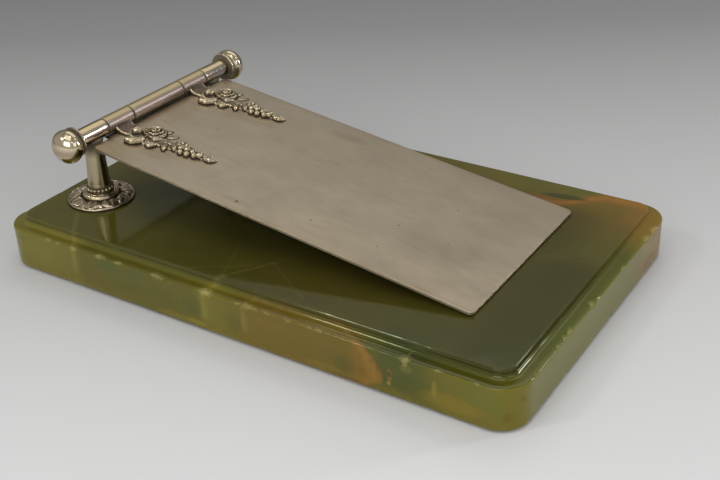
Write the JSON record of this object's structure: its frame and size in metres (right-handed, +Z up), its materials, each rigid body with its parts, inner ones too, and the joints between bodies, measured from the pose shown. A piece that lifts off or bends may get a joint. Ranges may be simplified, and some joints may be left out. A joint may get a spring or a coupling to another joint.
{
  "type": "ink blotter",
  "caption": "Desk ink blotter: stepped onyx slab with a hinged, plated press plate on two turned posts that holds blotting sheets down by its own weight.",
  "frame": {"origin": "centre of the underside, on the surface that the slab stands on", "axes": "+X along the slab from the hinge end to the free end of the plate, +Y across it, +Z up"},
  "size_m": [0.2, 0.123, 0.0495],
  "materials": {
    "onyx": "polished olive green banded onyx with brown zones and pale veins",
    "baize": "green wool baize",
    "polished_silver": "silver plated, polished, lightly tarnished",
    "satin_silver": "silver plated, satin with fine scratches and pits",
    "oxidised_silver": "cast, silver plated, dark in the recesses",
    "steel": "plain turned steel"
  },
  "bodies": {
    "base": {"onyx_base": "onyx", "felt_pad": "baize", "near_foot_rosette": "oxidised_silver", "far_foot_rosette": "oxidised_silver", "near_post_column": "polished_silver", "far_post_column": "polished_silver", "near_fixed_knuckle": "polished_silver", "far_fixed_knuckle": "polished_silver", "near_post_screw": "steel", "far_post_screw": "steel", "near_washer": "steel", "far_washer": "steel", "hinge_rod": "steel", "near_collar": "polished_silver", "far_collar": "polished_silver", "near_finial": "polished_silver", "far_finial": "polished_silver"},
    "plate": {"press_plate": "satin_silver", "near_moving_knuckle": "polished_silver", "far_moving_knuckle": "polished_silver", "near_flower_mount": "oxidised_silver", "far_flower_mount": "oxidised_silver"},
    "sleeve": {"centre_sleeve": "polished_silver"}
  },
  "joints": [
    {"name": "plate_hinge", "type": "hinge", "parent": "base", "child": "plate", "pos_m": [-0.0788, 0, 0.04375], "axis": [0, -1, 0], "range_deg": [0, 180]},
    {"name": "sleeve_spin", "type": "hinge", "parent": "base", "child": "sleeve", "pos_m": [-0.0788, 0, 0.04375], "axis": [0, -1, 0], "continuous": true}
  ]
}
